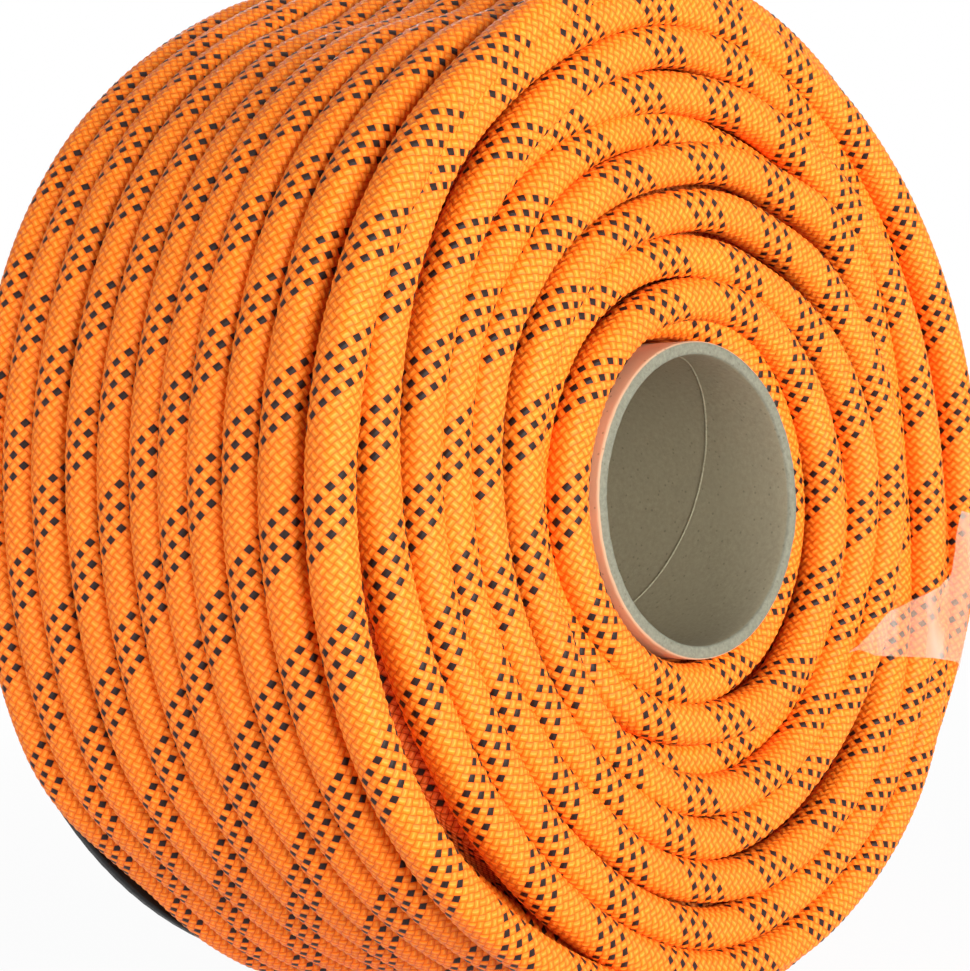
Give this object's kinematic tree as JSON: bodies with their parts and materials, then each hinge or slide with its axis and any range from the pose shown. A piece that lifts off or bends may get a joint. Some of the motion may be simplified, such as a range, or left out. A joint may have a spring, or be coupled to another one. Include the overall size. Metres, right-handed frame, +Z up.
{
  "type": "dynamic climbing rope",
  "caption": "Kernmantle climbing rope wound in layers on a cardboard tube with a thin black end flange, its open shoulder held down by a strip of clear tape",
  "frame": {"origin": "the middle of the core tube's bore, on its axis", "axes": "+Y runs along the reel's axis from the open face to the black flange, +Z is up, and the reel lies on its round side"},
  "size_m": [0.2519, 0.1246, 0.2622],
  "materials": {
    "rope_sheath": "braided nylon yarn in orange with small black tracer squares, soft sheen",
    "rope_sheath_inner": "the same orange braided nylon, hidden under the outer turns",
    "fused_nylon": "rope end melted into a hard brown-orange disc",
    "cardboard": "grey-brown spirally wound paperboard, matte, with a fuzzy cut rim",
    "black_plastic": "glossy black sheet plastic",
    "clear_tape": "clear packing tape, shiny and slightly wrinkled"
  },
  "bodies": {
    "root": {"rope_outer_turns": "rope_sheath", "rope_inner_tip": "fused_nylon", "rope_outer_tip": "fused_nylon", "rope_inner_layers": "rope_sheath_inner", "core_tube": "cardboard", "rear_flange": "black_plastic", "retaining_tape": "clear_tape"}
  },
  "joints": []
}
